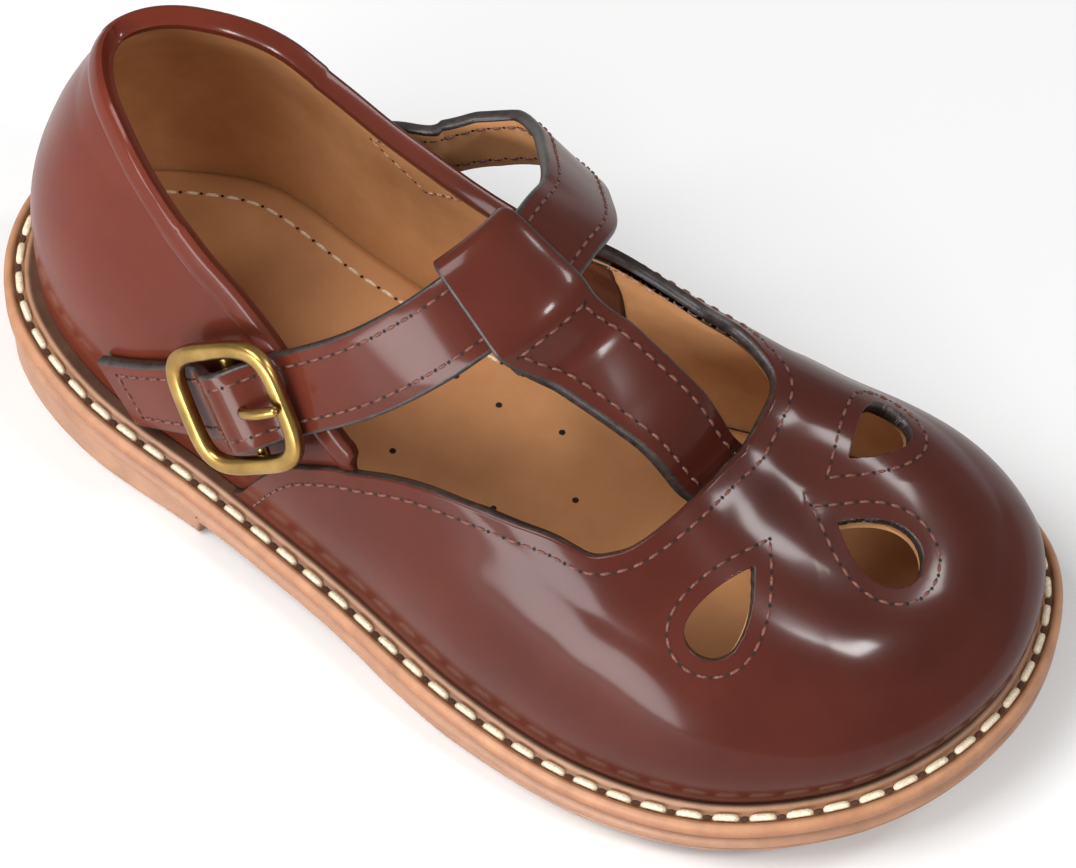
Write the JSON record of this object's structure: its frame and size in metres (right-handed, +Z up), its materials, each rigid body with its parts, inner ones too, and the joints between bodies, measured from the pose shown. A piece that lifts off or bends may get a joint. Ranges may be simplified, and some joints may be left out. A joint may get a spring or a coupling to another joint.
{
  "type": "shoe",
  "caption": "Child's closed-toe T-bar buckle shoe for the right foot: hollow leather upper with teardrop cut-outs, stitched welt and a low-heeled rubber sole.",
  "frame": {"origin": "centre of the bounding box on the floor under the shoe", "axes": "+X runs from the heel to the toe, +Y to the inner side of the foot, -Y to the buckled outer side, +Z up"},
  "size_m": [0.164, 0.077, 0.0699],
  "materials": {
    "sole_rubber": "satin tan rubber",
    "welt_rubber": "satin light tan rubber",
    "insole_leather": "matt tan leather",
    "upper_leather": "glossy dark red-brown leather",
    "buckle_brass": "polished brass"
  },
  "bodies": {
    "root": {"outsole": "sole_rubber", "welt": "welt_rubber", "insole": "insole_leather", "upper": "upper_leather", "t_bar": "upper_leather", "ankle_strap": "upper_leather", "buckle_tab": "upper_leather", "buckle_frame": "buckle_brass", "buckle_prong": "buckle_brass"}
  },
  "joints": []
}
